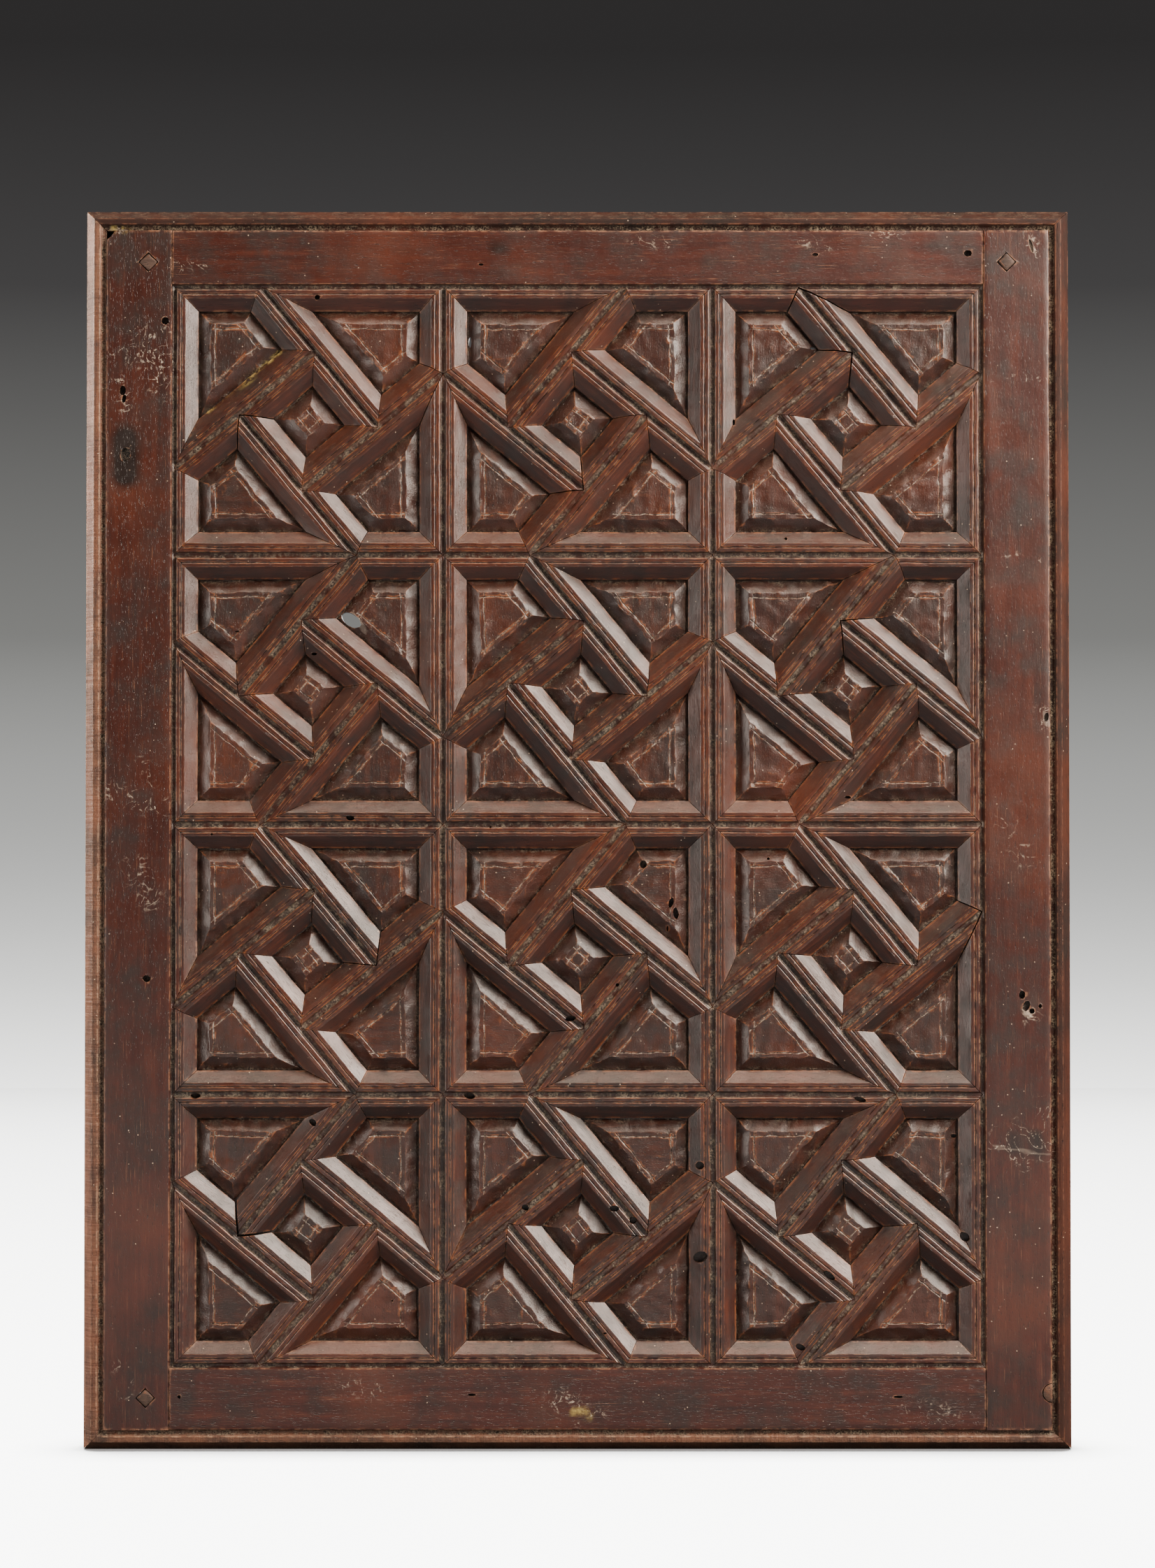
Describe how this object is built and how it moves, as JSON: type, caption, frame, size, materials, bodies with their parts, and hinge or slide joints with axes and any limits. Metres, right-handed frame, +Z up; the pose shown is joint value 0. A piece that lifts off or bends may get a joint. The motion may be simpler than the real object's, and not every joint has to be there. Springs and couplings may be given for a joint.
{
  "type": "framed wooden wall panel",
  "caption": "Tall framed wall panel of dark wood, its square compartments filled with moulded pinwheel strapwork, raised coffers and small square bosses.",
  "frame": {"origin": "centre of the flat back, on the back of the middle ledger of the middle column", "axes": "+Z up the panel's height, +X to the right seen from the front, +Y out of the back towards the wall, so the carved face looks along -Y"},
  "size_m": [0.6384, 0.0263, 0.8022],
  "materials": {
    "frame_wood": "old waxed walnut, dark red-brown",
    "outer_moulding_wood": "stained walnut with a paler, sawn chamfer",
    "strap_wood": "waxed walnut with rubbed, orange-brown ridges",
    "boss_wood": "waxed walnut with scribed lines",
    "peg_wood": "dry end grain"
  },
  "bodies": {
    "root": {"strapwork_r1_c1": "strap_wood", "strapwork_r1_c2": "strap_wood", "strapwork_r1_c3": "strap_wood", "strapwork_r2_c1": "strap_wood", "strapwork_r2_c2": "strap_wood", "strapwork_r2_c3": "strap_wood", "strapwork_r3_c1": "strap_wood", "strapwork_r3_c2": "strap_wood", "strapwork_r3_c3": "strap_wood", "strapwork_r4_c1": "strap_wood", "strapwork_r4_c2": "strap_wood", "strapwork_r4_c3": "strap_wood", "boss_r1_c1": "boss_wood", "boss_r1_c2": "boss_wood", "boss_r1_c3": "boss_wood", "boss_r2_c1": "boss_wood", "boss_r2_c2": "boss_wood", "boss_r2_c3": "boss_wood", "boss_r3_c1": "boss_wood", "boss_r3_c2": "boss_wood", "boss_r3_c3": "boss_wood", "boss_r4_c1": "boss_wood", "boss_r4_c2": "boss_wood", "boss_r4_c3": "boss_wood", "ledger_r1_c1": "strap_wood", "ledger_r1_c2": "strap_wood", "ledger_r1_c3": "strap_wood", "ledger_r2_c1": "strap_wood", "ledger_r2_c2": "strap_wood", "ledger_r2_c3": "strap_wood", "ledger_r3_c1": "strap_wood", "ledger_r3_c2": "strap_wood", "ledger_r3_c3": "strap_wood", "muntin_1": "strap_wood", "muntin_2": "strap_wood", "stile_left": "frame_wood", "stile_right": "frame_wood", "rail_top": "frame_wood", "rail_bottom": "frame_wood", "peg_top_left": "peg_wood", "peg_top_right": "peg_wood", "peg_bottom_left": "peg_wood", "plug_bottom_right": "peg_wood", "moulding_top": "outer_moulding_wood", "moulding_right": "outer_moulding_wood", "moulding_bottom": "outer_moulding_wood", "moulding_left": "outer_moulding_wood"}
  },
  "joints": []
}
